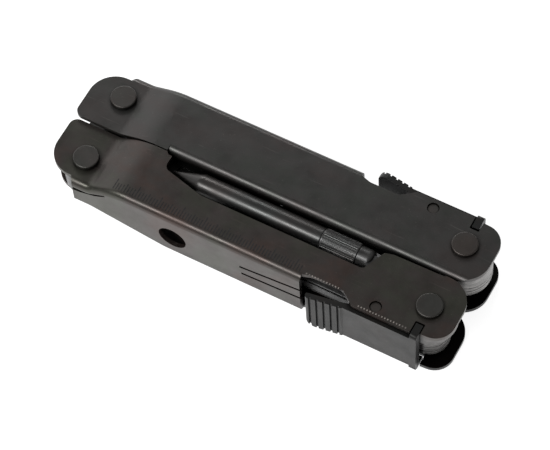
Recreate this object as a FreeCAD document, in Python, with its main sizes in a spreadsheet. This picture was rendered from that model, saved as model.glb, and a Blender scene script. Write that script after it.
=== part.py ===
import FreeCAD, Part
import math
import os
import Sketcher

# A folding multi tool, shut. Two folded-sheet handles lie side by side along X, with a pair of
# pliers folded away between them at one end and a stack of blades in each at the other end.
# The origin is at the bottom of the lower rivet heads, under the middle. +X points to the blade
# pivots, -Y to the front handle and +Z up. The rear handle and what is in it are the same
# shapes as in front, turned half a turn about the long axis, so all are drawn in front.

doc = FreeCAD.newDocument("multi_tool")

# ---------------------------------------------------------------- driving dimensions, in mm
DIMENSIONS = [
    # handles
    ("end_x", 57.15, "half of the length over the handles"),
    ("seam_y", 0.15, "from the middle to a handle's inner edge"),
    ("web_y", 17.35, "from the middle to the outer face of a web"),
    ("wing_y", 17.9, "from the middle to a flange edge beside the lever"),
    ("base_z", 1.0, "underside of the lower flange"),
    ("top_z", 18.0, "upper side of the upper flange"),
    ("sheet", 1.2, "thickness of the folded sheet"),
    ("fold_round", 1.9, "outer radius of the fold"),
    ("web_end_x", 17.4, "where the web stops, before the lever"),
    ("front_step", 3.9, "how far both ears of the front handle are set in"),
    ("rear_step", 2.55, "the same for the rear handle, whose ears pass outside the front ones"),
    ("ear_x", -43.3, "where the set-in ear starts"),
    ("ramp_x", -35.8, "where the upper ramp from the ear is level again"),
    ("long_ramp_x", -22.0, "where the lower ramp is level again"),
    ("ear_bend", 4.5, "radius of the bend between an ear and its ramp"),
    ("ramp_bend", 18.0, "radius of the bend at the ramp's other end"),
    ("ear_side_y", 15.4, "outer side of an ear"),
    ("ear_side_x", -48.9, "where an ear widens to the web"),
    ("low_ear_inset", 0.8, "how much smaller the ear underneath is, at its end and its side"),
    ("notch_x", 47.9, "side of the notch for the lever's cross piece"),
    ("notch_wide", 2.6, "its width"),
    ("notch_y", 14.5, "its end, from the middle"),
    ("front_lip_x", -20.5, "where the front handle's rolled lip starts"),
    ("rear_lip_x", -29.5, "where the rear handle's lip starts"),
    ("lip_depth", 2.25, "height of the rolled lip"),
    ("lip_round", 1.9, "radius of the rolled lip"),
    ("hole_x", -18.9, "lanyard hole in the web"),
    ("hole_round", 3.9, "its radius"),
    ("recess_y", 7.6, "depth of the finger recess over the punch"),
    # pivots
    ("plier_x", -47.85, "pivots of the pliers"),
    ("tool_x", 49.15, "pivots of the blades"),
    ("pivot_y", 9.57, "pivots from the middle"),
    ("shank_round", 2.0, "radius of a rivet shank"),
    ("head_round", 3.4, "radius of a rivet head"),
    ("tool_head", 1.0, "height of a blade rivet's head"),
    ("plier_head", 1.3, "height of a pliers rivet's head"),
    ("play", 0.05, "running clearance round a shank"),
    # lock lever
    ("pin_x", 37.5, "pivot pin of the lock lever"),
    ("pin_y", 15.5, "pin from the middle"),
    ("pin_round", 1.45, "its radius"),
    ("pin_sunk", 0.4, "how far the pin's ends lie below the flanges"),
    ("lever_y", 18.9, "outer face of the lever bar"),
    ("lever_in_y", 17.05, "inner face of the lever bar"),
    ("lever_low_z", 2.4, "underside of the lever bar"),
    ("lever_top_z", 16.6, "upper side of the lever bar"),
    ("cross_x", 48.3, "side of the cross piece"),
    ("cross_wide", 1.9, "its width"),
    ("cross_y", 19.05, "its outer face"),
    ("cross_in_y", 15.0, "its ends in the notches"),
    ("cross_thick", 1.1, "thickness of those ends"),
    ("cross_proud", 0.12, "how far they stand out of the notches"),
    ("lug_y", 13.5, "inner end of the lugs on the pin"),
    ("pad_x", 20.3, "free end of the ribbed pad"),
    ("pad_end_x", 29.8, "end of the ribs"),
    ("pad_y", 20.6, "top of the ribs at the free end"),
    ("pad_end_y", 19.2, "top of the ribs at the bar"),
    ("pad_wall", 1.5, "thickness of the pad"),
    ("rib_pitch", 1.8, "from rib to rib"),
    ("rib_wide", 1.5, "width of the first rib"),
    ("groove_deep", 0.45, "depth of the grooves between ribs"),
    # pliers
    ("joint_x", -33.5, "joint of the two jaws"),
    ("joint_round", 7.5, "radius of the lap at the joint"),
    ("tang_round", 6.05, "radius of a jaw's tang round its pivot"),
    ("jaw_mid_z", 9.5, "middle of the pliers"),
    ("ear_play", 0.1, "clearance between a tang and the ears"),
    ("lap_half", 3.3, "half the thickness of the lap"),
    ("nose_half", 2.0, "half the thickness of the noses"),
    ("nose_x", 12.0, "tip of the noses"),
    ("arm_half", 4.0, "half the width of a jaw's arm"),
    ("joint_pin", 2.5, "radius of the joint's pin"),
    ("joint_head", 3.9, "radius of its heads"),
    # blades
    ("heel_round", 7.2, "radius of a blade's tang"),
    ("small_heel_round", 5.4, "the same for the blades under the punch"),
    ("back_y", 13.2, "backs of the folded blades"),
    ("edge_y", 5.6, "edges of the folded blades"),
    ("washer_round", 3.6, "radius of a spacing washer"),
    ("washer_gap", 0.02, "gap at each side of a washer"),
    # punch
    ("punch_y", 3.2, "punch from the middle"),
    ("punch_z", 14.8, "its height"),
    ("punch_round", 2.9, "its radius"),
    ("punch_tip_x", -26.0, "its point"),
]

sheet = doc.addObject("Spreadsheet::Sheet", "Params")
sheet.set("A1", "name")
sheet.set("B1", "mm")
sheet.set("C1", "meaning")
for row, (alias, size, meaning) in enumerate(DIMENSIONS, start=2):
    sheet.set("A%d" % row, alias)
    sheet.set("B%d" % row, repr(size))
    sheet.set("C%d" % row, meaning)
    sheet.setAlias("B%d" % row, alias)
doc.recompute()


class Size:
    """A length with the sheet expression that gives it, so that sums of cells stay bound."""

    def __init__(self, value, text):
        self.value = value
        self.text = text

    @staticmethod
    def of(other):
        if isinstance(other, Size):
            return other
        return Size(float(other), repr(float(other)))

    def __add__(self, other):
        other = Size.of(other)
        return Size(self.value + other.value, "(%s + %s)" % (self.text, other.text))

    def __sub__(self, other):
        other = Size.of(other)
        return Size(self.value - other.value, "(%s - %s)" % (self.text, other.text))

    def __mul__(self, factor):
        return Size(self.value * factor, "(%s * %s)" % (self.text, repr(float(factor))))

    def __neg__(self):
        return Size(-self.value, "(0 - %s)" % self.text)


def cell(alias):
    """The Size held by one cell of the sheet."""
    return Size(float(sheet.get(alias)), "Params.%s" % alias)


def bind(thing, prop, size):
    """Ties a property to the sheet."""
    thing.setExpression(prop, Size.of(size).text)


# ---------------------------------------------------------------- sketches and features
def new_body(label):
    body = doc.addObject("PartDesign::Body", label)
    body.Label = label
    return body


def new_sketch(body, role, shift=(0, 0, 0)):
    """A sketch on one of the body's own planes, moved by shift in the plane's own axes."""
    sketch = body.newObject("Sketcher::SketchObject", body.Label + "_sketch")
    plane = [item for item in body.Origin.OriginFeatures if item.Role == role][0]
    sketch.AttachmentSupport = [(plane, "")]
    sketch.MapMode = "FlatFace"
    for axis, size in zip("xyz", shift):
        bind(sketch, "AttachmentOffset.Base.%s" % axis, size)
    return sketch


def place(sketch, geometry, vertex, point):
    """Fixes one vertex of a sketch at a point whose two distances are bound to the sheet."""
    for kind, size in zip(("DistanceX", "DistanceY"), point):
        size = Size.of(size)
        index = sketch.addConstraint(Sketcher.Constraint(kind, -1, 1, geometry, vertex, size.value))
        sketch.setExpression("Constraints[%d]" % index, size.text)


def draw_circle(sketch, centre, radius):
    """A circle with its centre and radius bound to the sheet."""
    radius = Size.of(radius)
    middle = FreeCAD.Vector(Size.of(centre[0]).value, Size.of(centre[1]).value, 0)
    circle = Part.Circle(middle, FreeCAD.Vector(0, 0, 1), radius.value)
    geometry = sketch.addGeometry(circle, False)
    place(sketch, geometry, 3, centre)
    index = sketch.addConstraint(Sketcher.Constraint("Radius", geometry, radius.value))
    sketch.setExpression("Constraints[%d]" % index, radius.text)


def corner_arc(before, corner, after, radius):
    """Where a fillet of this radius leaves the two sides of a corner, and its arc."""
    back = (before - corner).normalize()
    on = (after - corner).normalize()
    half = back.getAngle(on) / 2
    reach = radius / math.tan(half)
    start = corner + back * reach
    end = corner + on * reach
    centre = corner + (back + on).normalize() * (radius / math.sin(half))
    middle = centre + (corner - centre).normalize() * radius
    return start, end, Part.Arc(start, middle, end)


def draw_outline(sketch, corners):
    """A closed outline of (x, y) or (x, y, radius) corners; the rounds are tangent arcs."""
    points = [
        FreeCAD.Vector(Size.of(corner[0]).value, Size.of(corner[1]).value, 0) for corner in corners
    ]
    count = len(points)
    marks = []
    for corner, point in zip(corners, points):
        mark = sketch.addGeometry(Part.Point(point), True)
        place(sketch, mark, 1, corner[:2])
        marks.append(mark)
    starts, ends, arcs = [], [], []
    for i in range(count):
        if len(corners[i]) == 3:
            radius = Size.of(corners[i][2])
            start, end, arc = corner_arc(
                points[i - 1], points[i], points[(i + 1) % count], radius.value
            )
            geometry = sketch.addGeometry(arc, False)
            # an arc always runs anticlockwise, so its first end may be the far one
            first = 1 if (sketch.getPoint(geometry, 1) - start).Length < 1e-6 else 2
            index = sketch.addConstraint(Sketcher.Constraint("Radius", geometry, radius.value))
            sketch.setExpression("Constraints[%d]" % index, radius.text)
            arcs.append((geometry, first, 3 - first))
        else:
            start = end = points[i]
            arcs.append(None)
        starts.append(start)
        ends.append(end)
    for i in range(count):
        j = (i + 1) % count
        line = sketch.addGeometry(Part.LineSegment(ends[i], starts[j]), False)
        for vertex, at in ((1, i), (2, j)):
            if arcs[at] is None:
                join = Sketcher.Constraint("Coincident", line, vertex, marks[at], 1)
                sketch.addConstraint(join)
            else:
                arc, first, last = arcs[at]
                side = last if vertex == 1 else first
                sketch.addConstraint(Sketcher.Constraint("PointOnObject", marks[at], 1, line))
                sketch.addConstraint(Sketcher.Constraint("Tangent", line, vertex, arc, side))


def pad(body, sketch, length):
    feature = body.newObject("PartDesign::Pad", body.Label + "_pad")
    feature.Profile = sketch
    bind(feature, "Length", length)
    doc.recompute()
    return feature


def pocket(body, sketch, length=None, reverse=False):
    """A pocket, through all when it has no length. It has to take something away."""
    before = body.Shape.Volume
    feature = body.newObject("PartDesign::Pocket", body.Label + "_pocket")
    feature.Profile = sketch
    feature.Reversed = reverse
    if length is None:
        feature.Type = "ThroughAll"
        feature.Midplane = True
    else:
        bind(feature, "Length", length)
    doc.recompute()
    assert feature.Shape.Volume < before - 0.001, "nothing cut in " + body.Label
    return feature


def revolve(body, sketch, axis="H_Axis"):
    feature = body.newObject("PartDesign::Revolution", body.Label + "_turned")
    feature.Profile = sketch
    feature.ReferenceAxis = (sketch, [axis])
    feature.Angle = 360
    doc.recompute()
    return feature


def edges_where(shape, test):
    """Names of a shape's edges whose two ends both pass a test."""
    names = []
    for number, edge in enumerate(shape.Edges, start=1):
        if len(edge.Vertexes) == 2 and test(edge.Vertexes[0].Point, edge.Vertexes[1].Point):
            names.append("Edge%d" % number)
    return names


def fillet(body, test, radius):
    """Rounds the edges of the body's tip that pass a test."""
    base = body.Tip
    feature = body.newObject("PartDesign::Fillet", body.Label + "_round")
    feature.Base = (base, edges_where(base.Shape, test))
    bind(feature, "Radius", radius)
    doc.recompute()
    return feature


def near(one, other):
    return abs(one - other) < 1e-3


def same(point, other, axes):
    """Whether two points agree along the named axes."""
    return all(near(getattr(point, axis), getattr(other, axis)) for axis in axes)


def turned_over(body):
    """Puts a piece in the rear handle: half a turn about the long axis through the middle."""
    body.Placement = FreeCAD.Placement(
        FreeCAD.Vector(0, 0, base_z.value + top_z.value),
        FreeCAD.Rotation(FreeCAD.Vector(1, 0, 0), 180),
    )


end_x = cell("end_x")
seam_y = cell("seam_y")
web_y = cell("web_y")
wing_y = cell("wing_y")
base_z = cell("base_z")
top_z = cell("top_z")
wall = cell("sheet")
web_end_x = cell("web_end_x")
ear_x = cell("ear_x")
tool_x = cell("tool_x")
plier_x = cell("plier_x")
pivot_y = cell("pivot_y")
pin_x = cell("pin_x")
pin_y = cell("pin_y")
joint_x = cell("joint_x")
shank_round = cell("shank_round")
head_round = cell("head_round")
ear_bend = cell("ear_bend")
ramp_bend = cell("ramp_bend")
jaw_mid_z = cell("jaw_mid_z")
tool_pivot = (tool_x, -pivot_y)
plier_pivot = (plier_x, -pivot_y)
# outlines that cut something off run on to here, outside the whole tool
FAR = 70


# ---------------------------------------------------------------- handles
def plan_outline():
    """The handle seen from above, anticlockwise from the inner corner of the ear."""
    ear_side_x = cell("ear_side_x")
    ear_side_y = cell("ear_side_y")
    notch_x = cell("notch_x")
    notch_y = cell("notch_y")
    notch_end_x = notch_x + cell("notch_wide")
    return [
        (-end_x, -seam_y, 2.2),
        (-end_x, -ear_side_y, 7.2),
        (ear_side_x, -ear_side_y),
        (ear_side_x + 1.1, -web_y),
        (web_end_x, -web_y),
        (web_end_x, -15.8),
        (20.2, -15.0, 2.0),
        (28.3, -15.0, 2.0),
        (32.0, -wing_y, 1.5),
        (notch_x, -wing_y),
        (notch_x, -notch_y, 0.3),
        (notch_end_x, -notch_y, 0.3),
        (notch_end_x, -17.3),
        (end_x, -17.0, 5.2),
        (end_x, -seam_y, 7.0),
    ]


def side_outline(low_ramp_x, top_ramp_x, low_z, ear_low_z, ear_top_z, high_z, reach):
    """A channel seen from the side, out to reach: level from the far end to the ramps."""
    return [
        (-reach, ear_low_z),
        (ear_x, ear_low_z, ear_bend),
        (low_ramp_x, low_z, ramp_bend),
        (reach, low_z),
        (reach, high_z),
        (top_ramp_x, high_z, ramp_bend),
        (ear_x, ear_top_z, ear_bend),
        (-reach, ear_top_z),
    ]


def channel(body, ear_low_z, ear_top_z, low_ramp_x, top_ramp_x):
    """The folded sheet: a block with rounded folds and ramps to its ears, hollowed out."""
    side = new_sketch(body, "XZ_Plane", (0, 0, seam_y))
    draw_outline(side, side_outline(
        low_ramp_x, top_ramp_x, base_z, ear_low_z, ear_top_z, top_z, end_x
    ))
    pad(body, side, web_y - seam_y)
    on_web = FreeCAD.Vector(0, -web_y.value, 0)
    fillet(
        body,
        lambda p, q: same(p, on_web, "y") and same(q, on_web, "y") and not near(p.x, q.x),
        cell("fold_round"),
    )

    # the two flanges run on beside the lever, a little wider than the web
    wings = new_sketch(body, "XZ_Plane", (0, 0, seam_y))
    draw_outline(wings, [
        (web_end_x, base_z), (end_x, base_z), (end_x, top_z), (web_end_x, top_z),
    ])
    pad(body, wings, wing_y - seam_y)
    hollow = new_sketch(body, "XZ_Plane", (0, 0, -1))
    draw_outline(hollow, side_outline(
        low_ramp_x, top_ramp_x, base_z + wall, ear_low_z + wall, ear_top_z - wall, top_z - wall, FAR
    ))
    pocket(body, hollow, web_y - wall + 1, reverse=True)
    beside_lever = new_sketch(body, "XZ_Plane")
    draw_outline(beside_lever, [
        (web_end_x, base_z + wall), (FAR, base_z + wall), (FAR, top_z - wall),
        (web_end_x, top_z - wall),
    ])
    pocket(body, beside_lever)


def cut_web_end(body, gap_low_z, gap_top_z, step, top_ramp_x):
    """Ends the web beside the ears and frees the upper ramp from it with a tapering slot."""
    slope = step.value / (top_ramp_x.value - ear_x.value)
    slot_middle_x = -41.0
    slot_end_x = -38.0
    middle_rise = slope * (slot_middle_x - ear_x.value)
    end_rise = slope * (slot_end_x - ear_x.value)
    # the slot stays just under the fold
    under_z = gap_top_z + wall - cell("fold_round") - 0.1
    relief = new_sketch(body, "XZ_Plane", (0, 0, web_y - wall - 1.5))
    draw_outline(relief, [
        (-FAR, gap_low_z),
        (-47.9, gap_low_z),
        (-48.9, under_z - 1.5),
        (-45.4, under_z - 1.0),
        (slot_middle_x, under_z + middle_rise - 0.8),
        (slot_end_x, under_z + end_rise - 0.5),
        (slot_end_x, under_z + end_rise),
        (ear_x, under_z, ear_bend),
        (-FAR, under_z),
    ])
    pocket(body, relief, 5, reverse=True)


def trim_low_ear(body, from_z):
    """Makes the ear on the tool's underside smaller, so that it hides under the upper one."""
    inset = cell("low_ear_inset")
    side_y = cell("ear_side_y") - inset
    side_x = cell("ear_side_x") - 0.3
    rim = new_sketch(body, "XY_Plane", (0, 0, from_z))
    draw_outline(rim, [
        (-FAR, -2.0),
        (-FAR, -FAR),
        (side_x, -FAR),
        (side_x, -side_y),
        (-end_x + inset, -side_y, 6.6),
        (-end_x + inset, -4.0),
        (-end_x - 0.4, -2.0),
    ])
    pocket(body, rim, jaw_mid_z, reverse=True)


def cut_recess(body):
    """Opens the upper flange over the punch, with a scoop for the finger nail."""
    recess = new_sketch(body, "XY_Plane", (0, 0, top_z - 4))
    recess_y = cell("recess_y")
    draw_outline(recess, [
        (-30.4, 1.0),
        (-28.6, -0.9),
        (-27.5, -0.9),
        (-27.5, -4.7, 1.8),
        (-15.6, -recess_y, 4.0),
        (30.0, -recess_y, 1.5),
        (32.6, -1.3, 0.8),
        (35.0, -0.7),
        (48.5, -0.5),
        (50.5, 1.0),
    ])
    pocket(body, recess, 5, reverse=True)


def cut_web_openings(body):
    """The lanyard hole and the two slots that leave a spring tongue between them."""
    cuts = new_sketch(body, "XZ_Plane", (0, 0, web_y - wall - 1))
    draw_circle(cuts, (cell("hole_x"), 9.0), cell("hole_round"))
    past_end_x = web_end_x + 1
    draw_outline(cuts, [(0.4, 9.8), (past_end_x, 11.9), (past_end_x, 12.7), (0.4, 10.6)])
    draw_outline(cuts, [(0.8, 6.8), (past_end_x, 7.8), (past_end_x, 8.6), (0.8, 7.6)])
    pocket(body, cuts, 5, reverse=True)


def handle(label, step, low_ramp_x, top_ramp_x, lip_x, low_ear_from_z):
    """A channel of folded sheet, with its ears set in, its lip, recess, slots and holes."""
    body = new_body(label)
    ear_low_z = base_z + step
    ear_top_z = top_z - step
    channel(body, ear_low_z, ear_top_z, low_ramp_x, top_ramp_x)

    # the lip along the lower flange, before the outline is cut
    lip = new_sketch(body, "XZ_Plane", (0, 0, seam_y))
    lip_z = base_z + cell("lip_depth")
    draw_outline(lip, [
        (lip_x - 0.5, base_z), (47.5, base_z), (46.5, lip_z), (lip_x + 0.5, lip_z),
    ])
    pad(body, lip, wall)

    trim = new_sketch(body, "XY_Plane")
    draw_outline(trim, [(-FAR, -FAR), (FAR, -FAR), (FAR, FAR), (-FAR, FAR)])
    draw_outline(trim, plan_outline())
    pocket(body, trim)
    cut_web_end(body, ear_low_z + wall, ear_top_z - wall, step, top_ramp_x)
    trim_low_ear(body, low_ear_from_z)
    cut_recess(body)

    # the lip's outer edge is rolled over
    rolled = new_sketch(body, "YZ_Plane", (0, 0, lip_x))
    draw_outline(rolled, [
        (1, base_z - 1),
        (1, base_z + 3),
        (-seam_y, base_z + 3),
        (-seam_y, base_z, cell("lip_round")),
        (-seam_y - 3, base_z),
        (-seam_y - 3, base_z - 1),
    ])
    pocket(body, rolled, end_x - lip_x + 1, reverse=True)

    for centre, radius in (
        (plier_pivot, shank_round),
        (tool_pivot, shank_round),
        ((pin_x, -pin_y), cell("pin_round") + 0.1),
    ):
        holes = new_sketch(body, "XY_Plane")
        draw_circle(holes, centre, radius)
        pocket(body, holes)
    cut_web_openings(body)
    return body


# ---------------------------------------------------------------- rivets, pins and washers
def rivet(label, centre, radius, low, high, head_round, head):
    """A turned rivet with a shallow head at each end, or none where head is 0."""
    body = new_body(label)
    section = new_sketch(body, "XZ_Plane", (centre[0], 0, -centre[1]))
    if head is None:
        corners = [(0, low), (radius, low), (radius, high), (0, high)]
    else:
        corners = [
            (0, low - head),
            (head_round, low - head, 0.35),
            (head_round, low),
            (radius, low),
            (radius, high),
            (head_round, high),
            (head_round, high + head, 0.35),
            (0, high + head),
        ]
    draw_outline(section, corners)
    revolve(body, section, "V_Axis")
    return body


def washers(label, centre, gaps):
    """Loose washers that fill the gaps between blades, as one group of separate rings."""
    rings = []
    gap = cell("washer_gap")
    for number, (low, high) in enumerate(gaps):
        disc = doc.addObject("Part::Cylinder", "%s_disc_%d" % (label, number))
        bore = doc.addObject("Part::Cylinder", "%s_bore_%d" % (label, number))
        bind(disc, "Radius", cell("washer_round"))
        bind(bore, "Radius", shank_round + cell("play"))
        for piece, extra in ((disc, 0.0), (bore, 1.0)):
            bind(piece, "Height", Size.of(high) - low - gap * 2 + 2 * extra)
            bind(piece, "Placement.Base.x", centre[0])
            bind(piece, "Placement.Base.y", centre[1])
            bind(piece, "Placement.Base.z", Size.of(low) + gap - extra)
        ring = doc.addObject("Part::Cut", "%s_ring_%d" % (label, number))
        ring.Base = disc
        ring.Tool = bore
        rings.append(ring)
    group = doc.addObject("Part::Compound", label)
    group.Label = label
    group.Links = rings
    return group


# ---------------------------------------------------------------- lock lever
def lever_plan():
    """The lever's bar and its pad, a bent shell that stands off the handle, seen from above."""
    inner = cell("lever_in_y")
    outer = cell("lever_y")
    pad_x = cell("pad_x")
    pad_end_x = cell("pad_end_x")
    pad_y = cell("pad_y")
    pad_end_y = cell("pad_end_y")
    pad_wall = cell("pad_wall")
    cross_x = cell("cross_x")
    return [
        (pad_x, -pad_y + pad_wall, 0.3),
        (pad_x, -pad_y, 0.95),
        (pad_end_x, -pad_end_y, 0.25),
        (pad_end_x + 0.3, -outer),
        (cross_x + 0.5, -outer),
        (cross_x + 0.5, -inner),
        (pad_end_x + 1.4, -inner, 2.0),
        (pad_end_x - 0.8, -pad_end_y + pad_wall, 1.5),
    ]


def cross_piece(body):
    """The lever's end: a strip across the handle whose bent ends sit in the flanges' notches."""
    inner = cell("lever_in_y")
    cross_y = cell("cross_y")
    cross_in_y = cell("cross_in_y")
    thick = cell("cross_thick")
    low_z = base_z - cell("cross_proud")
    high_z = top_z + cell("cross_proud")
    strip = new_sketch(body, "YZ_Plane", (0, 0, cell("cross_x")))
    draw_outline(strip, [
        (-cross_in_y, low_z),
        (-cross_y, low_z, 1.1),
        (-cross_y, high_z, 1.1),
        (-cross_in_y, high_z),
        (-cross_in_y, high_z - thick),
        (-inner, high_z - thick, 0.3),
        (-inner, low_z + thick, 0.3),
        (-cross_in_y, low_z + thick),
    ])
    pad(body, strip, cell("cross_wide"))


def cut_ribs(body):
    """Grooves between the ribs of the pad, each set back with the pad's slope."""
    pad_x = cell("pad_x")
    pad_y = cell("pad_y")
    pitch = cell("rib_pitch")
    deep = cell("groove_deep")
    fall = (pad_y.value - cell("pad_end_y").value) / (cell("pad_end_x").value - pad_x.value)
    grooves = new_sketch(body, "XY_Plane")
    for number in range(5):
        along = cell("rib_wide") + pitch * number
        middle = pad_x + along
        face = along * fall - pad_y
        draw_outline(grooves, [
            (middle - 0.34, face - 0.5), (middle + 0.34, face - 0.5),
            (middle + 0.24, face + deep), (middle - 0.24, face + deep),
        ])
    pocket(body, grooves)


def lock_lever(label):
    """The ribbed pad, the bar, the lugs on the pin and the cross piece."""
    body = new_body(label)
    low = cell("lever_low_z")
    top = cell("lever_top_z")
    inner = cell("lever_in_y")
    lug_y = cell("lug_y")
    plan = new_sketch(body, "XY_Plane", (0, 0, low))
    draw_outline(plan, lever_plan())
    pad(body, plan, top - low)
    for floor in (low, top - wall):
        lug = new_sketch(body, "XY_Plane", (0, 0, floor))
        draw_outline(lug, [
            (pin_x - 4.5, -inner), (pin_x - 2.7, -lug_y, 2.2), (pin_x + 2.7, -lug_y, 2.2),
            (pin_x + 4.5, -inner), (pin_x + 4.5, -inner - 0.5), (pin_x - 4.5, -inner - 0.5),
        ])
        pad(body, lug, wall)
    cross_piece(body)
    hole = new_sketch(body, "XY_Plane")
    draw_circle(hole, (pin_x, -pin_y), cell("pin_round") + cell("play"))
    pocket(body, hole)
    cut_ribs(body)

    # the pad's lower corner is rounded off
    pad_x = cell("pad_x")
    corner = new_sketch(body, "XZ_Plane")
    draw_outline(corner, [
        (pad_x - 1, low - 1), (pad_x + 6, low - 1), (pad_x + 6, low), (pad_x, low, 3.5),
        (pad_x, low + 6), (pad_x - 1, low + 6),
    ])
    pocket(body, corner)
    return body


# ---------------------------------------------------------------- pliers
def jaw(label, tang_half):
    """One half of the pliers: tang, arm, half lap and needle nose."""
    body = new_body(label)
    mid_z = jaw_mid_z
    lap_half = cell("lap_half")
    nose_x = cell("nose_x")
    joint = (joint_x, 0)

    tang = new_sketch(body, "XY_Plane", (0, 0, mid_z - tang_half))
    draw_circle(tang, plier_pivot, cell("tang_round"))
    pad(body, tang, tang_half * 2)
    # the arm runs straight from the pivot to the joint
    arm = new_sketch(body, "XY_Plane", (0, 0, mid_z - lap_half))
    along_x = joint_x.value - plier_x.value
    along_y = pivot_y.value
    reach = math.hypot(along_x, along_y)
    side_x = cell("arm_half") * (along_y / reach)
    side_y = cell("arm_half") * (along_x / reach)
    draw_outline(arm, [
        (plier_x - side_x, -pivot_y + side_y),
        (plier_x + side_x, -pivot_y - side_y),
        (joint_x + side_x, -side_y),
        (joint_x - side_x, side_y),
    ])
    pad(body, arm, lap_half * 2)
    lap = new_sketch(body, "XY_Plane", (0, 0, mid_z - lap_half))
    draw_circle(lap, joint, cell("joint_round"))
    pad(body, lap, lap_half * 2)
    nose = new_sketch(body, "XY_Plane", (0, 0, mid_z - lap_half))
    draw_outline(nose, [
        (joint_x, 0.05), (nose_x, 0.05), (nose_x, 1.5, 1.0), (-24.0, 4.9, 6.0), (-31.9, 7.2),
    ])
    pad(body, nose, lap_half * 2)

    # the nose tapers above and below
    taper = new_sketch(body, "XZ_Plane")
    nose_half = cell("nose_half")
    for way in (1, -1):
        draw_outline(taper, [
            (-25.6, mid_z + (lap_half + 0.2) * way),
            (-18.6, mid_z + nose_half * way),
            (nose_x + 1, mid_z + (nose_half - 0.8) * way),
            (nose_x + 1, mid_z + (lap_half + 0.2) * way),
        ])
    pocket(body, taper)

    # the other jaw's half of the lap
    half = new_sketch(body, "XY_Plane", (0, 0, mid_z - lap_half - 1))
    draw_circle(half, joint, cell("joint_round") + 0.3)
    pocket(body, half, lap_half + 1.05, reverse=True)
    for centre, radius in ((plier_pivot, shank_round), (joint, cell("joint_pin"))):
        hole = new_sketch(body, "XY_Plane")
        draw_circle(hole, centre, radius + cell("play"))
        pocket(body, hole)

    # teeth across the gripping face
    teeth = new_sketch(body, "XY_Plane")
    pitch = 1.1
    for number in range(16):
        middle = nose_x - 1.0 - pitch * number
        draw_outline(teeth, [(middle - 0.45, 0), (middle, 0.4), (middle + 0.45, 0)])
    pocket(body, teeth)
    return body


# ---------------------------------------------------------------- blades
# heights of the blades in each handle, measured up from that handle's lip flange
FRONT_STACK = [(3.3, 4.7), (4.9, 6.8), (7.0, 9.4), (9.6, 11.7), (12.3, 16.6)]
REAR_STACK = [(3.3, 4.25), (4.4, 5.8), (6.0, 9.9), (10.1, 11.4), (11.6, 13.4)]


def tang_corners(heel):
    """The heel end that every blade shares, from the back's shoulder round to the edge side."""
    nearly_round = heel - 0.2
    return [
        (44.2, -cell("back_y"), 1.5),
        (46.4, -pivot_y - heel, 1.5),
        (tool_x + heel, -pivot_y - heel, nearly_round),
        (tool_x + heel, -pivot_y + heel, nearly_round),
        (45.6, -pivot_y + heel, 2.5),
        (41.6, -cell("edge_y"), 2.5),
    ]


def blade(label, low, high, tip):
    """A flat blade: the shared heel and the tip's own corners, with its pivot hole."""
    body = new_body(label)
    heel = cell("small_heel_round") if (low, high) in FRONT_STACK else cell("heel_round")
    plan = new_sketch(body, "XY_Plane", (0, 0, low))
    draw_outline(plan, tang_corners(heel) + tip)
    pad(body, plan, Size.of(high) - low)
    hole = new_sketch(body, "XY_Plane")
    draw_circle(hole, tool_pivot, shank_round + cell("play"))
    pocket(body, hole)
    return body


def grind(body, low, high, start_x, width):
    """Grinds both sides of the back line down to a thin edge, from start_x to the tip."""
    low = Size.of(low)
    high = Size.of(high)
    edge_at = -cell("back_y")
    middle = (low.value + high.value) / 2
    section = new_sketch(body, "YZ_Plane", (0, 0, start_x))
    draw_outline(section, [
        (edge_at - 0.5, middle + 0.15), (edge_at + width, high), (edge_at + width, high + 1),
        (edge_at - 0.5, high + 1),
    ])
    draw_outline(section, [
        (edge_at - 0.5, middle - 0.15), (edge_at - 0.5, low - 1), (edge_at + width, low - 1),
        (edge_at + width, low),
    ])
    pocket(body, section, 70)


def wedge_tip(body, low, high, start_x, end_x_at, tip_half):
    """Thins a driver's tip between two X positions to twice tip_half."""
    low = Size.of(low)
    high = Size.of(high)
    middle = (low.value + high.value) / 2
    section = new_sketch(body, "XZ_Plane")
    draw_outline(section, [
        (start_x, high), (start_x, high + 1), (end_x_at, high + 1), (end_x_at, middle + tip_half),
    ])
    draw_outline(section, [
        (start_x, low), (end_x_at, middle - tip_half), (end_x_at, low - 1), (start_x, low - 1),
    ])
    pocket(body, section)


def notches(body, shape, first_x, pitch, count):
    """Cuts the same small outline again and again along a blade's edge."""
    plan = new_sketch(body, "XY_Plane")
    draw_outline(plan, [(first_x + x, y) for x, y in shape])
    cut = pocket(body, plan)
    row = body.newObject("PartDesign::LinearPattern", body.Label + "_row")
    row.Originals = [cut]
    row.Direction = (plan, ["H_Axis"])
    row.Length = pitch * (count - 1)
    row.Occurrences = count
    body.Tip = row
    doc.recompute()


def knife_blade(label, low, high):
    """A plain blade with a drop point."""
    body = blade(label, low, high, [
        (-5.0, -cell("edge_y"), 12.0), (-18.85, -9.2), (-10.0, -cell("back_y"), 9.0),
    ])
    grind(body, low, high, 37.0, 3.4)
    nick = new_sketch(body, "XY_Plane", (0, 0, high))
    draw_outline(nick, [
        (2.0, -7.0, 0.4), (12.0, -7.0, 0.4), (12.0, -8.2, 0.4), (2.0, -8.2, 0.4),
    ])
    pocket(body, nick, 0.5)
    return body


def serrated_blade(label, low, high):
    """A broad sheepsfoot blade with scallops along its edge."""
    body = blade(label, low, high, [
        (38.0, -cell("edge_y"), 1.0),
        (35.5, -3.0, 1.5),
        (4.0, -3.0, 8.0),
        (-18.85, -11.6, 1.5),
        (-16.4, -cell("back_y")),
    ])
    grind(body, low, high, 37.0, 2.6)
    scallop = [(0, -14.0), (2.6, -14.0), (2.4, -12.75), (1.75, -12.35), (0.85, -12.35), (0.2, -12.75)]
    notches(body, scallop, -13.6, 3.0, 16)
    return body


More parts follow.
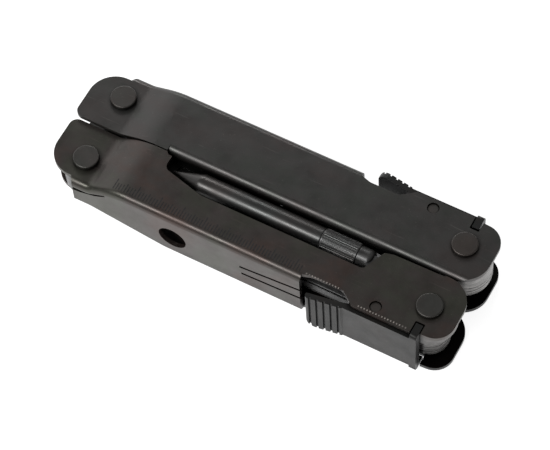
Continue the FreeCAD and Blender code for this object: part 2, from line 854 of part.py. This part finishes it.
def file_blade(label, low, high):
    """A flat bar for filing, square at its end."""
    return blade(label, low, high, [(-16.85, -cell("edge_y"), 0.8), (-16.85, -cell("back_y"), 0.8)])


def wood_saw(label, low, high):
    """A thin blade with raked teeth along its edge."""
    body = blade(label, low, high, [
        (-10.0, -cell("edge_y") - 0.2, 6.0), (-16.85, -9.4, 1.0), (-16.85, -cell("back_y"), 0.8),
    ])
    tooth = [(0, -14.0), (1.5, -14.0), (1.45, -13.1), (0.75, -12.1), (0.1, -13.1)]
    notches(body, tooth, -15.0, 1.7, 30)
    return body


def flat_driver(label, low, high, tip_x, half_width, tip_half):
    """A flat screwdriver: a narrower shank and a thinned tip."""
    middle = (cell("edge_y") + cell("back_y")).value / 2
    body = blade(label, low, high, [
        (30.0, -cell("edge_y"), 3.0),
        (25.0, -middle + half_width, 3.0),
        (tip_x, -middle + half_width),
        (tip_x, -middle - half_width),
        (25.0, -middle - half_width, 3.0),
        (30.0, -cell("back_y"), 3.0),
    ])
    wedge_tip(body, low, high, tip_x + 8.0, tip_x - 0.1, tip_half)
    return body


def can_opener(label, low, high):
    """A hooked blade for tins, with a notch that hooks under a rim."""
    body = blade(label, low, high, [
        (13.0, -cell("edge_y"), 3.0),
        (7.2, -8.6, 1.2),
        (9.4, -12.9, 0.6),
        (12.6, -10.2, 0.8),
        (16.4, -10.2, 1.2),
        (17.6, -cell("back_y"), 1.0),
    ])
    return body


def phillips_driver(label, low, high):
    """A round shank with a cross tip, on a thick flat heel."""
    low = Size.of(low)
    high = Size.of(high)
    middle_z = (low.value + high.value) / 2
    middle_y = (cell("edge_y") + cell("back_y")).value / 2
    radius = (high.value - low.value) / 2
    body = blade(label, low, high, [
        (35.0, -middle_y + radius, 3.0), (34.0, -middle_y + radius),
        (34.0, -middle_y - radius), (35.0, -middle_y - radius, 3.0),
    ])
    shank = new_sketch(body, "XZ_Plane", (0, middle_z, middle_y))
    draw_outline(shank, [
        (36.0, 0), (36.0, radius), (-7.5, radius, 2.0), (-11.0, 0.55), (-11.9, 0.3), (-11.9, 0),
    ])
    revolve(body, shank)
    # four flutes between the wings of the cross
    flutes = new_sketch(body, "YZ_Plane", (0, 0, -4.5))
    for way_y in (1, -1):
        for way_z in (1, -1):
            near_y = -middle_y + 0.35 * way_y
            near_z = middle_z + 0.35 * way_z
            draw_outline(flutes, [
                (near_y, near_z),
                (near_y + 2.2 * way_y, near_z + 0.5 * way_z),
                (near_y + 2.2 * way_y, near_z + 2.2 * way_z),
                (near_y + 0.5 * way_y, near_z + 2.2 * way_z),
            ])
    pocket(body, flutes, 20)
    return body


# ---------------------------------------------------------------- punch
def punch_holder(label, low, high):
    """The punch's heel, its neck and its gripping collar, bored for the point."""
    body = new_body(label)
    punch_y = cell("punch_y")
    plan = new_sketch(body, "XY_Plane", (0, 0, low))
    draw_outline(plan, tang_corners(cell("heel_round"))[:4] + [
        (44.0, -2.4, 3.0), (28.6, -2.4), (28.6, -5.6, 0.8), (36.0, -7.5, 4.0),
        (39.5, -cell("back_y"), 2.0),
    ])
    pad(body, plan, Size.of(high) - low)
    hole = new_sketch(body, "XY_Plane")
    draw_circle(hole, tool_pivot, shank_round + cell("play"))
    pocket(body, hole)
    grip = new_sketch(body, "XZ_Plane", (0, cell("punch_z"), punch_y))
    collar = cell("punch_round") + 0.12
    neck = collar - 0.3
    draw_outline(grip, [
        (16.5, 1.5),
        (16.5, collar, 0.25),
        (26.6, collar, 0.25),
        (26.6, neck),
        (30.7, neck, 1.5),
        (30.7, 0),
        (23.5, 0),
        (23.5, 1.5),
    ])
    revolve(body, grip)
    return body


def punch_point(label):
    """The round punch itself, with a conical end and a threaded stub in the collar."""
    body = new_body(label)
    radius = cell("punch_round")
    tip_x = cell("punch_tip_x")
    section = new_sketch(body, "XZ_Plane", (0, cell("punch_z"), cell("punch_y")))
    draw_outline(section, [
        (tip_x, 0), (tip_x, 0.3), (tip_x + 8.5, radius), (16.45, radius), (16.45, 1.45),
        (23.0, 1.45, 0.4), (23.0, 0),
    ])
    revolve(body, section)
    return body


# ---------------------------------------------------------------- the whole tool
def stack_gaps(stack):
    """The gaps between the flanges and the blades of one stack, from bottom to top."""
    gaps = []
    floor = base_z + wall
    for low, high in stack:
        gaps.append((floor, low))
        floor = Size.of(high)
    gaps.append((floor, top_z - wall))
    return gaps


def fittings(side, low_ramp_x, top_ramp_x, low_ear_from_z, stack):
    """The handle, lever, pin, rivets, washers and jaw that both sides have."""
    step = cell(side + "_step")
    lip_x = cell(side + "_lip_x")
    sunk = cell("pin_sunk")
    tang_half = jaw_mid_z - base_z - step - wall - cell("ear_play")
    return [
        handle(side + "_handle", step, low_ramp_x, top_ramp_x, lip_x, low_ear_from_z),
        lock_lever(side + "_lock_lever"),
        rivet(
            side + "_lever_pin", (pin_x, -pin_y), cell("pin_round"), base_z + sunk, top_z - sunk,
            None, None,
        ),
        rivet(
            side + "_plier_rivet", plier_pivot, shank_round, base_z + step, top_z - step,
            head_round, cell("plier_head"),
        ),
        rivet(
            side + "_tool_rivet", tool_pivot, shank_round, base_z, top_z,
            head_round, cell("tool_head"),
        ),
        washers(side + "_tool_washers", tool_pivot, stack_gaps(stack)),
        jaw(side + "_jaw", tang_half),
    ]


short_ramp_x = cell("ramp_x")
long_ramp_x = cell("long_ramp_x")

front = fittings("front", long_ramp_x, short_ramp_x, Size.of(0), FRONT_STACK)
front += [
    flat_driver("small_screwdriver", *FRONT_STACK[0], -0.85, 1.9, 0.3),
    flat_driver("large_screwdriver", *FRONT_STACK[1], -8.85, 3.2, 0.45),
    file_blade("file", *FRONT_STACK[2]),
    knife_blade("knife_blade", *FRONT_STACK[3]),
    punch_holder("punch_holder", *FRONT_STACK[4]),
    punch_point("punch_point"),
]
# the rear pieces are drawn in front too, so their upper side is the tool's underside
rear = fittings("rear", short_ramp_x, long_ramp_x, jaw_mid_z, REAR_STACK)
rear += [
    can_opener("can_opener", *REAR_STACK[0]),
    flat_driver("medium_screwdriver", *REAR_STACK[1], 3.15, 2.6, 0.35),
    phillips_driver("phillips_driver", *REAR_STACK[2]),
    wood_saw("wood_saw", *REAR_STACK[3]),
    serrated_blade("serrated_blade", *REAR_STACK[4]),
]
joint_pin = rivet(
    "jaw_joint_pin", (joint_x, 0), cell("joint_pin"),
    jaw_mid_z - cell("lap_half"), jaw_mid_z + cell("lap_half"),
    cell("joint_head"), Size.of(0.5),
)
doc.recompute()
for piece in rear:
    turned_over(piece)
doc.recompute()

failed = [item.Name for item in doc.Objects if "Invalid" in item.State or "Error" in item.State]
assert not failed, "objects that did not compute: %s" % failed
os.makedirs("parts", exist_ok=True)
for piece in front + rear + [joint_pin]:
    shape = piece.Shape
    assert not shape.isNull() and shape.isValid(), "bad shape in " + piece.Label
    shape.exportStep("parts/%s.step" % piece.Label)
    print(piece.Label, len(shape.Solids), "solids,", round(shape.Volume, 1), "mm3")
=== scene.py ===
"""Looks of a folding multi tool in black-oxide steel, on a pale studio floor."""

import math

import bpy
from mathutils import Matrix, Vector


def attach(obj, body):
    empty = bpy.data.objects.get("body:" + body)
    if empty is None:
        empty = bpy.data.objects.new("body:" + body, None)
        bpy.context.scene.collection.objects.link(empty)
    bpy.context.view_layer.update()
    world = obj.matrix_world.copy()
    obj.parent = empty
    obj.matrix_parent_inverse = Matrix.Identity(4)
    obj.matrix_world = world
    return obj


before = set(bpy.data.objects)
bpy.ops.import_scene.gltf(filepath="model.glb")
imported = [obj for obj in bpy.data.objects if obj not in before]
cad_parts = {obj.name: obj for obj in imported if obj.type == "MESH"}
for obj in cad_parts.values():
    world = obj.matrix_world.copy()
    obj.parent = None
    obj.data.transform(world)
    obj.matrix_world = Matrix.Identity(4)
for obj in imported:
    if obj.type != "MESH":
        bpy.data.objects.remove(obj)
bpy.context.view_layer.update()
MM = 0.001
scene = bpy.context.scene


# ---------------------------------------------------------------- camera

CAMERA_AZIMUTH = 32.3
CAMERA_ELEVATION = 60.07
CAMERA_ROLL = -4.44
CAMERA_DISTANCE = 660.1 * MM
CAMERA_RIGHT = 0.01 * MM
CAMERA_UP = 1.61 * MM
CAMERA_TARGET = Vector((0.65, 0.0, 1.0)) * MM
SENSOR_WIDTH = 36.0
FRAME_WIDTH = 550
FOCAL_PIXELS = 2600


def make_camera():
    """The camera looks down at the front left corner, a little rolled."""
    azimuth = math.radians(CAMERA_AZIMUTH)
    elevation = math.radians(CAMERA_ELEVATION)
    roll = math.radians(CAMERA_ROLL)
    back = Vector((
        math.sin(azimuth) * math.cos(elevation),
        -math.cos(azimuth) * math.cos(elevation),
        math.sin(elevation),
    ))
    level = Vector((math.cos(azimuth), math.sin(azimuth), 0.0))
    upright = back.cross(level)
    right = level * math.cos(roll) + upright * math.sin(roll)
    up = upright * math.cos(roll) - level * math.sin(roll)
    data = bpy.data.cameras.new("camera")
    data.sensor_width = SENSOR_WIDTH
    data.lens = SENSOR_WIDTH * FOCAL_PIXELS / FRAME_WIDTH
    data.clip_start = 0.01
    data.clip_end = 20.0
    camera = bpy.data.objects.new("camera", data)
    place = CAMERA_TARGET + back * CAMERA_DISTANCE + right * CAMERA_RIGHT + up * CAMERA_UP
    axes = Matrix((right, up, back)).transposed().to_4x4()
    camera.matrix_world = Matrix.Translation(place) @ axes
    scene.collection.objects.link(camera)
    scene.camera = camera


# ---------------------------------------------------------------- node helpers

CREVICE = 9.0 * MM          # how far around a point the painted crevice shade looks
SHADE_TOP = 2.2 * MM         # painted shade: the bottom flange is black below this height
SHADE_FROM = 43.5 * MM       # and beyond this x, near the blade rivets
SHADE_REST = 0.1             # what is left there of its tint and sheen


def make_material(name):
    """A new node material and its shader."""
    material = bpy.data.materials.new(name)
    material.use_nodes = True
    return material, material.node_tree.nodes["Principled BSDF"]


class Graph:
    """Adds nodes to a material, in object coordinates, which are metres in the tool's frame."""

    def __init__(self, material):
        self.nodes = material.node_tree.nodes
        self.links = material.node_tree.links
        self.coords = self.nodes.new("ShaderNodeTexCoord").outputs["Object"]

    def stretched(self, scale):
        """Object coordinates scaled by a triple."""
        mapping = self.nodes.new("ShaderNodeMapping")
        mapping.inputs["Scale"].default_value = scale
        self.links.new(self.coords, mapping.inputs["Vector"])
        return mapping.outputs["Vector"]

    def noise(self, scale, detail=3.0, stretch=(1, 1, 1), roughness=0.5):
        """Fractal noise, scale in features per metre."""
        noise = self.nodes.new("ShaderNodeTexNoise")
        noise.inputs["Scale"].default_value = scale
        noise.inputs["Detail"].default_value = detail
        noise.inputs["Roughness"].default_value = roughness
        self.links.new(self.stretched(stretch), noise.inputs["Vector"])
        return noise.outputs["Fac"]

    def ramp(self, value, stops):
        """A colour ramp with (position, colour) stops."""
        ramp = self.nodes.new("ShaderNodeValToRGB")
        bar = ramp.color_ramp
        for element, (position, colour) in zip(bar.elements, (stops[0], stops[-1])):
            element.position = position
            element.color = (*colour, 1)
        for position, colour in stops[1:-1]:
            bar.elements.new(position).color = (*colour, 1)
        self.links.new(value, ramp.inputs["Fac"])
        return ramp.outputs["Color"]

    def mix(self, factor, first, second, mode="MIX"):
        """Mixes two colour outputs by a factor, which is a number or an output."""
        mix = self.nodes.new("ShaderNodeMix")
        mix.data_type = "RGBA"
        mix.blend_type = mode
        if isinstance(factor, float):
            mix.inputs["Factor"].default_value = factor
        else:
            self.links.new(factor, mix.inputs["Factor"])
        self.links.new(first, mix.inputs["A"])
        self.links.new(second, mix.inputs["B"])
        return mix.outputs["Result"]

    def painted_shade(self):
        """Painted shade: near 1 on open surfaces and low in crevices, from ambient occlusion, as a
        colour.
        """
        around = self.nodes.new("ShaderNodeAmbientOcclusion")
        around.samples = 8
        around.inputs["Distance"].default_value = CREVICE
        return self.ramp(around.outputs["AO"], [(0.3, (0.12, 0.12, 0.12)), (0.85, (1, 1, 1))])

    def along(self, axis):
        """Where a point lies along one axis, in metres."""
        split = self.nodes.new("ShaderNodeSeparateXYZ")
        self.links.new(self.coords, split.inputs["Vector"])
        return split.outputs[axis]

    def low_end_shade(self):
        """Painted shade: near 0 low at the blade end, the shadow of the blade stack on the bottom
        flange.
        """
        above = self.span(self.along("Z"), SHADE_REST, 1.0, SHADE_TOP, SHADE_TOP + 0.5 * MM)
        before = self.span(self.along("X"), 1.0, 0.0, SHADE_FROM, SHADE_FROM + 1.0 * MM)
        lighter = self.nodes.new("ShaderNodeMath")
        lighter.operation = "MAXIMUM"
        self.links.new(above, lighter.inputs[0])
        self.links.new(before, lighter.inputs[1])
        return lighter.outputs["Value"]

    def span(self, value, low, high, start=0.3, stop=0.7):
        """Maps a value from start to stop, where noise mostly stays, on to low to high."""
        remap = self.nodes.new("ShaderNodeMapRange")
        remap.inputs["From Min"].default_value = start
        remap.inputs["From Max"].default_value = stop
        remap.inputs["To Min"].default_value = low
        remap.inputs["To Max"].default_value = high
        self.links.new(value, remap.inputs["Value"])
        return remap.outputs["Result"]

    def bump(self, height, depth, below=None):
        """A bump of a given depth in metres, laid over another one."""
        bump = self.nodes.new("ShaderNodeBump")
        bump.inputs["Strength"].default_value = 1.0
        bump.inputs["Distance"].default_value = depth
        self.links.new(height, bump.inputs["Height"])
        if below is not None:
            self.links.new(below, bump.inputs["Normal"])
        return bump.outputs["Normal"]


# ---------------------------------------------------------------- studio

FLOOR_HALF = 3.0
FLOOR_GREY = 0.5
FLOOR_GLOW = 0.88
LAMP_DISTANCE = 0.9
FILL = 0.2


def make_floor():
    """A wide pale floor just under the tool, with a glow that keeps it white."""
    half = FLOOR_HALF
    mesh = bpy.data.meshes.new("studio_floor")
    corners = [(-half, -half, 0), (half, -half, 0), (half, half, 0), (-half, half, 0)]
    mesh.from_pydata(corners, [], [(0, 1, 2, 3)])
    floor = bpy.data.objects.new("studio_floor", mesh)
    material, shader = make_material("floor_paper")
    shader.inputs["Base Color"].default_value = (FLOOR_GREY, FLOOR_GREY, FLOOR_GREY, 1)
    shader.inputs["Roughness"].default_value = 0.9
    shader.inputs["Emission Color"].default_value = (1, 1, 1, 1)
    shader.inputs["Emission Strength"].default_value = FLOOR_GLOW
    mesh.materials.append(material)
    scene.collection.objects.link(floor)


def soft_box(name, direction, size, power):
    """A rectangular lamp that faces the tool's middle."""
    data = bpy.data.lights.new(name, "AREA")
    data.shape = "RECTANGLE"
    data.size = size[0]
    data.size_y = size[1]
    data.energy = power
    lamp = bpy.data.objects.new(name, data)
    towards = Vector(direction).normalized()
    lamp.location = towards * LAMP_DISTANCE
    lamp.rotation_euler = towards.to_track_quat("Z", "Y").to_euler()
    scene.collection.objects.link(lamp)


def make_lights():
    """A panel on the left, a strip in front for the folds, a small key behind, an even fill."""
    soft_box("left_panel", (-0.80, 0.40, 0.42), (0.9, 0.6), 1.5)
    soft_box("front_strip", (-0.25, -0.60, 0.76), (0.7, 0.16), 5.0)
    soft_box("back_key", (-0.45, 0.80, 0.62), (0.25, 0.25), 1.1)
    world = bpy.data.worlds.new("studio")
    scene.world = world
    world.use_nodes = True
    background = world.node_tree.nodes["Background"]
    background.inputs["Color"].default_value = (1, 1, 1, 1)
    background.inputs["Strength"].default_value = FILL


# ---------------------------------------------------------------- materials

GRIT = 4500.0       # fine grain, about 0.2 mm
PATCH = 70.0        # blotches, about 14 mm
OXIDE_IOR = 1.7
LEVER_IOR = 1.55
BLOTCHES = (0.36, 0.5, 0.64)        # where the noise turns cool, plain and warm
WAVE_DEPTH = 0.00008
BRUSHED_DEPTH = 0.00002


def oxide(name, tints, sheens, roughness, grain_depth, ior=OXIDE_IOR):
    """Black oxide on steel: blotches of near-black tints and sheens, specks, streaks, smudges."""
    cool, dark, warm = tints
    cool_sheen, sheen, warm_sheen = sheens
    material, shader = make_material(name)
    graph = Graph(material)
    blotch = graph.noise(PATCH, 4.0, (1, 1.4, 1), 0.6)
    tint = graph.ramp(blotch, list(zip(BLOTCHES, (cool, dark, warm))))
    reflection = graph.ramp(blotch, list(zip(BLOTCHES, (cool_sheen, sheen, warm_sheen))))
    # painted shade: occlusion in crevices and the low blade end darken both tint and sheen
    painted_shade = graph.mix(1.0, graph.painted_shade(), graph.low_end_shade(), "MULTIPLY")
    graph.links.new(graph.mix(1.0, reflection, painted_shade, "MULTIPLY"), shader.inputs["Specular Tint"])
    pale = tuple(2.2 * part for part in dark)
    speck = graph.ramp(graph.noise(GRIT * 0.35, 2.0), [(0.68, (0, 0, 0)), (0.78, pale)])
    streak = graph.ramp(
        graph.noise(PATCH * 9, 3.0, (0.12, 3.0, 3.0), 0.6), [(0.66, (0, 0, 0)), (0.72, pale)]
    )
    colour = graph.mix(1.0, graph.mix(1.0, tint, speck, "ADD"), streak, "ADD")
    graph.links.new(graph.mix(1.0, colour, painted_shade, "MULTIPLY"), shader.inputs["Base Color"])
    smudge = graph.noise(PATCH * 2.3, 5.0, (1, 1, 1), 0.65)
    graph.links.new(graph.span(smudge, roughness - 0.06, roughness + 0.08), shader.inputs["Roughness"])
    shader.inputs["IOR"].default_value = ior
    waves = graph.bump(graph.noise(PATCH * 1.5, 2.0), WAVE_DEPTH)
    grain = graph.bump(graph.noise(GRIT, 2.0), grain_depth, waves)
    graph.links.new(grain, shader.inputs["Normal"])
    return material


def brushed(name, dark, light, roughness, from_x):
    """Ground steel under thin oxide, bright on the tangs beyond from_x and darker before it, as
    painted shade inside the handle, with painted crevice shade over all.
    """
    material, shader = make_material(name)
    graph = Graph(material)
    lines = graph.noise(900.0, 4.0, (0.35, 0.35, 7.0), 0.7)
    bright = graph.ramp(lines, [(0.35, dark), (0.68, light)])
    # painted shade: the half-dark colour before from_x stands for the shade inside the handle
    inside_shade = graph.ramp(lines, [(0.3, tuple(0.5 * part for part in dark)), (0.7, dark)])
    on_tang = graph.span(graph.along("X"), 0.0, 1.0, from_x, from_x + 1.5 * MM)
    # painted shade: the colour is darkened in crevices by occlusion
    colour = graph.mix(1.0, graph.mix(on_tang, inside_shade, bright), graph.painted_shade(), "MULTIPLY")
    graph.links.new(colour, shader.inputs["Base Color"])
    graph.links.new(graph.span(on_tang, 0.0, 0.6, 0.0, 1.0), shader.inputs["Metallic"])
    graph.links.new(graph.span(lines, roughness - 0.08, roughness + 0.1), shader.inputs["Roughness"])
    shader.inputs["IOR"].default_value = OXIDE_IOR
    graph.links.new(graph.bump(lines, BRUSHED_DEPTH), shader.inputs["Normal"])
    return material


def engraving(name, colour):
    """Worn paint in the engraved lines of the rule; with a pale colour, a painted highlight on the
    engraved notches along the flange's edge.
    """
    material, shader = make_material(name)
    graph = Graph(material)
    patches = graph.noise(1600.0, 2.0)
    faded = tuple(0.45 * part + 0.008 for part in colour)
    graph.links.new(graph.ramp(patches, [(0.38, faded), (0.55, colour)]), shader.inputs["Base Color"])
    graph.links.new(graph.span(patches, 0.5, 0.8), shader.inputs["Roughness"])
    return material


# each oxide has a cool, a plain and a warm tint, and a sheen for each
FRONT_TINTS = ((0.0100, 0.0100, 0.0074), (0.0120, 0.0096, 0.0086), (0.0190, 0.0112, 0.0090))
FRONT_SHEENS = ((1.0, 0.99, 0.86), (1.0, 0.91, 0.86), (1.0, 0.82, 0.76))
REAR_TINTS = ((0.0100, 0.0104, 0.0094), (0.0122, 0.0114, 0.0106), (0.0150, 0.0124, 0.0114))
REAR_SHEENS = ((0.97, 1.0, 0.93), (1.0, 0.97, 0.95), (1.0, 0.92, 0.90))
LEVER_TINTS = ((0.0078, 0.0080, 0.0078), (0.0095, 0.0095, 0.0092), (0.0120, 0.0110, 0.0104))
LEVER_SHEENS = ((0.46, 0.485, 0.475), (0.51, 0.50, 0.49), (0.58, 0.545, 0.53))
RIVET_TINTS = ((0.0105, 0.0106, 0.0094), (0.0140, 0.0125, 0.0112), (0.0175, 0.0140, 0.0120))
RIVET_SHEENS = ((1.0, 0.98, 0.92), (1.0, 0.94, 0.90), (1.0, 0.90, 0.85))
STEEL_TINTS = ((0.0098, 0.0100, 0.0098), (0.0125, 0.0118, 0.0114), (0.0150, 0.0130, 0.0120))
STEEL_SHEENS = ((0.97, 1.0, 0.98), (1.0, 0.97, 0.95), (1.0, 0.93, 0.90))


def dress_nodes():
    """Gives every CAD node the look of its own material slot, and two nodes their own variant."""
    looks = {
        "handle_sheet": oxide("front_oxide", FRONT_TINTS, FRONT_SHEENS, 0.36, 0.000006),
        "lever_steel": oxide("lever_oxide", LEVER_TINTS, LEVER_SHEENS, 0.40, 0.000008, LEVER_IOR),
        "rivet_steel": oxide("rivet_oxide", RIVET_TINTS, RIVET_SHEENS, 0.40, 0.000006),
        "plier_steel": oxide("plier_oxide", STEEL_TINTS, STEEL_SHEENS, 0.32, 0.000010),
        "punch_steel": oxide("punch_oxide", STEEL_TINTS, STEEL_SHEENS, 0.34, 0.000004),
        "blade_steel": brushed("blade_oxide", (0.06, 0.058, 0.056), (0.38, 0.37, 0.36), 0.36, 44 * MM),
    }
    variants = {
        "rear_handle": oxide("rear_oxide", REAR_TINTS, REAR_SHEENS, 0.38, 0.000006),
        "punch_holder": brushed("tang_steel", (0.03, 0.029, 0.028), (0.2, 0.19, 0.185), 0.36, 50 * MM),
    }
    for name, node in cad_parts.items():
        for place in node.material_slots:
            place.material = variants.get(name, looks[place.material.name])
    return looks


# ---------------------------------------------------------------- rounded edges

EDGE_ROUND = 0.14 * MM
WELD_GAP = 0.002 * MM
FLAT = math.radians(0.3)
SHARP = math.radians(28)


def soften(node):
    """Breaks a CAD node's sharp edges with a small bevel, without changing its own mesh."""
    weld = node.modifiers.new("weld", "WELD")
    weld.merge_threshold = WELD_GAP
    flat = node.modifiers.new("flat", "DECIMATE")
    flat.decimate_type = "DISSOLVE"
    flat.angle_limit = FLAT
    bevel = node.modifiers.new("bevel", "BEVEL")
    bevel.width = EDGE_ROUND
    bevel.segments = 2
    bevel.limit_method = "ANGLE"
    bevel.angle_limit = SHARP
    normals = node.modifiers.new("normals", "WEIGHTED_NORMAL")
    normals.keep_sharp = False


def soften_nodes():
    """Softens every CAD node."""
    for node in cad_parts.values():
        soften(node)


# ---------------------------------------------------------------- added pieces

TOP_Z = 18.0 * MM
BEND_X = -31.4 * MM         # where the top flange starts to bend down to the ear
BEND_RADIUS = 18.0 * MM
MARK_LIFT = 0.006 * MM
FOLD_Y = -15.5 * MM
RULE_START = -36.5 * MM
RULE_PITCH = 0.8 * MM
RULE_LINES = 67
SHORT_LINE = 2.0 * MM
FOURTH_LINE = 2.5 * MM
EIGHTH_LINE = 3.1 * MM
MARK_WIDTH = 0.3 * MM
DASH_PITCH = 0.8 * MM
DASH_LENGTH = 0.42 * MM
RULE_PAINT = (0.0045, 0.004, 0.004)
# the pale dash colour below is a painted highlight of light catching the engraved notches
DASH_HIGHLIGHT = (0.30, 0.27, 0.245)
# each run of dashes along the flange's edge starts and stops at an x, at a certain y
EDGE_MARKS = (
    (18.2 * MM, 28.0 * MM, -15.35 * MM),
    (33.6 * MM, 47.2 * MM, -17.55 * MM),
)


def add_piece(name, points, faces, material, body):
    """A mesh piece that moves with a body and has the given material."""
    mesh = bpy.data.meshes.new(name)
    mesh.from_pydata(points, [], faces)
    mesh.materials.append(material)
    piece = bpy.data.objects.new(name, mesh)
    scene.collection.objects.link(piece)
    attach(piece, body)


def flange_height(x):
    """Height of the front handle's top flange, which bends down beyond BEND_X."""
    beyond = max(0.0, BEND_X - x)
    return TOP_Z - BEND_RADIUS + math.sqrt(BEND_RADIUS ** 2 - beyond ** 2)


def plates(boxes):
    """Points and faces of thin plates (x, y, width, length) that lie on the top flange."""
    points = []
    faces = []
    for x, y, width, length in boxes:
        first = len(points)
        for step_x, step_y in ((0, 0), (width, 0), (width, length), (0, length)):
            height = flange_height(x + step_x) + MARK_LIFT
            points.append((x + step_x, y + step_y, height))
        faces.append((first, first + 1, first + 2, first + 3))
    return points, faces


def add_rule():
    """The rule beside the fold: close lines, longer at each fourth and eighth."""
    lines = []
    for number in range(RULE_LINES):
        length = SHORT_LINE
        if number % 4 == 0:
            length = FOURTH_LINE
        if number % 8 == 0:
            length = EIGHTH_LINE
        lines.append((RULE_START + number * RULE_PITCH, FOLD_Y, MARK_WIDTH, length))
    points, faces = plates(lines)
    add_piece(
        "rule_marks", points, faces, engraving("rule_paint", RULE_PAINT),
        "front_handle",
    )


def add_edge_marks():
    """Fine pale dashes along the flange's edge by the lock lever, painted highlights where light
    catches the engraved notches.
    """
    dashes = []
    for start, stop, y in EDGE_MARKS:
        count = int((stop - start) / DASH_PITCH)
        for number in range(count):
            dashes.append((start + number * DASH_PITCH, y, MARK_WIDTH, DASH_LENGTH))
    points, faces = plates(dashes)
    add_piece(
        "edge_marks", points, faces, engraving("edge_highlight", DASH_HIGHLIGHT),
        "front_handle",
    )


KNURL_RIDGES = 38
KNURL_LOW = 3.01 * MM
KNURL_HIGH = 3.08 * MM
KNURL_ENDS = (17.0 * MM, 26.2 * MM)
PUNCH_Y = -3.2 * MM
PUNCH_Z = 14.8 * MM


def add_knurl(material):
    """The ridged sleeve of the punch's collar, with ridges that run along the punch."""
    points = []
    ring = KNURL_RIDGES * 4
    for x in KNURL_ENDS:
        for number in range(ring):
            angle = 2 * math.pi * number / ring
            radius = KNURL_HIGH if number % 4 in (1, 2) else KNURL_LOW
            y = PUNCH_Y + radius * math.cos(angle)
            z = PUNCH_Z + radius * math.sin(angle)
            points.append((x, y, z))
    faces = [tuple(range(ring)), tuple(reversed(range(ring, 2 * ring)))]
    for number in range(ring):
        after = (number + 1) % ring
        faces.append((number, number + ring, after + ring, after))
    add_piece("collar_knurl", points, faces, material, "punch")


# ---------------------------------------------------------------- scene

scene.view_settings.view_transform = "Standard"
make_camera()
make_floor()
make_lights()
looks = dress_nodes()
soften_nodes()
add_rule()
add_edge_marks()
add_knurl(looks["punch_steel"])
